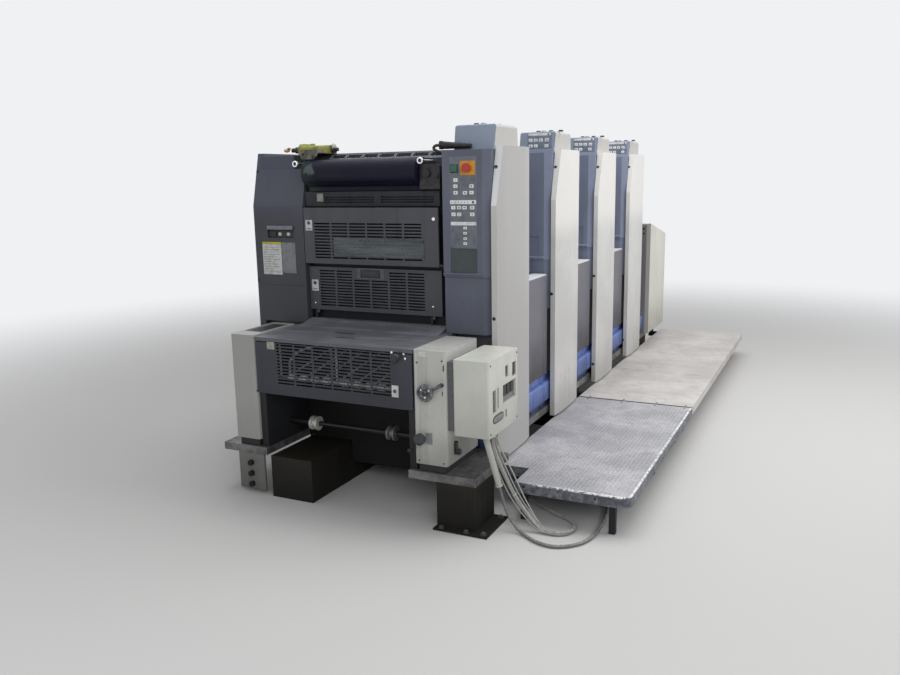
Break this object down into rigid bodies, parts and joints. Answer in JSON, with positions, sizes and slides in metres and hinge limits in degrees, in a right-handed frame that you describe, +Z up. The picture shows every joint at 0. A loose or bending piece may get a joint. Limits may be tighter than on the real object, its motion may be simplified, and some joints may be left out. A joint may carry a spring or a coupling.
{
  "type": "sheet-fed offset printing press",
  "caption": "Multi-colour sheet-fed offset press standing on plinths, with delivery, feeder and raised walkway.",
  "frame": {"origin": "on the floor, under the middle of the whole object's box", "axes": "+X towards the operator's side, +Y towards the feeder, +Z up"},
  "size_m": [2.05, 4.242, 1.774],
  "materials": {
    "pale_paint": "semi-gloss pale grey enamel",
    "hose_rubber": "dusty grey rubber hose",
    "box_paint": "cream grey enamel",
    "charcoal_paint": "satin charcoal enamel",
    "slate_paint": "satin bluish grey enamel",
    "blue_paint": "worn blue enamel",
    "bed_metal": "dirty machined grey",
    "plinth_paint": "dark olive brown, oily",
    "ink_casting": "olive enamel, ink stained",
    "roller_cover": "navy black",
    "window": "tinted translucent sheet",
    "chrome": "polished",
    "black_plastic": "moulded black",
    "red_plastic": "moulded red",
    "deck_plate": "worn tread plate",
    "deck_legs": "black enamel",
    "feed_metal": "brushed"
  },
  "bodies": {
    "machine": {"unit_1_cover": "pale_paint", "unit_2_cover": "pale_paint", "unit_3_cover": "pale_paint", "unit_4_cover": "pale_paint", "left_post": "pale_paint", "control_post": "pale_paint", "feeder_operator_cheek": "pale_paint", "feeder_drive_cheek": "pale_paint", "hose_loop": "hose_rubber", "hose_bundle": "hose_rubber", "electrical_box": "box_paint", "valve_plate": "box_paint", "hose_fittings": "box_paint", "unit_1_drive_cover": "charcoal_paint", "unit_2_drive_cover": "charcoal_paint", "unit_3_drive_cover": "charcoal_paint", "unit_4_drive_cover": "charcoal_paint", "unit_1_housing": "charcoal_paint", "unit_2_housing": "charcoal_paint", "unit_3_housing": "charcoal_paint", "unit_4_housing": "charcoal_paint", "ink_hoods": "charcoal_paint", "inner_guards": "charcoal_paint", "roller_tray": "charcoal_paint", "delivery_table": "charcoal_paint", "delivery_legs": "charcoal_paint", "hinge_brackets": "charcoal_paint", "transfer_covers": "charcoal_paint", "feeder_head": "charcoal_paint", "unit_1_column": "slate_paint", "unit_2_column": "slate_paint", "unit_3_column": "slate_paint", "unit_4_column": "slate_paint", "top_boxes": "slate_paint", "kick_panels": "slate_paint", "base_frame": "blue_paint", "bed_plate": "bed_metal", "front_plinths": "plinth_paint", "rear_plinths": "plinth_paint", "ink_casting": "ink_casting", "roller_cover": "roller_cover", "rest_fittings": "chrome", "pile_hoist": "chrome", "box_gasket": "black_plastic", "roller_bracket": "black_plastic", "column_conduit": "black_plastic", "pile_back": "black_plastic", "front_deck": "deck_plate", "rear_deck": "deck_plate", "deck_legs": "deck_legs", "feed_board": "feed_metal", "feeder_pile_board": "feed_metal"},
    "upper_guard_body": {"upper_guard": "charcoal_paint", "guard_window": "window"},
    "lower_guard_body": {"lower_guard": "charcoal_paint"},
    "delivery_guard_body": {"delivery_guard": "charcoal_paint"},
    "crank": {"crank_wheel": "chrome"},
    "adjuster": {"adjusting_knob": "black_plastic"},
    "stop_button": {"emergency_stop": "red_plastic"}
  },
  "joints": [
    {"name": "upper_guard_hinge", "type": "hinge", "parent": "machine", "child": "upper_guard_body", "pos_m": [-0.335, -1.665, 1.12], "axis": [1, 0, 0], "range_deg": [0, 80]},
    {"name": "lower_guard_hinge", "type": "hinge", "parent": "machine", "child": "lower_guard_body", "pos_m": [-0.335, -1.648, 0.861], "axis": [1, 0, 0], "range_deg": [0, 75]},
    {"name": "delivery_guard_hinge", "type": "hinge", "parent": "machine", "child": "delivery_guard_body", "pos_m": [-0.335, -2.073, 0.531], "axis": [1, 0, 0], "range_deg": [0, 90]},
    {"name": "crank_turn", "type": "hinge", "parent": "machine", "child": "crank", "pos_m": [0.182, -2.079, 0.62], "axis": [0, 1, 0], "continuous": true},
    {"name": "adjuster_turn", "type": "hinge", "parent": "machine", "child": "adjuster", "pos_m": [0.152, -2.079, 0.408], "axis": [0, 1, 0], "continuous": true},
    {"name": "stop_press", "type": "slide", "parent": "machine", "child": "stop_button", "axis": [0, 1, 0], "range_m": [0, 0.004]}
  ]
}
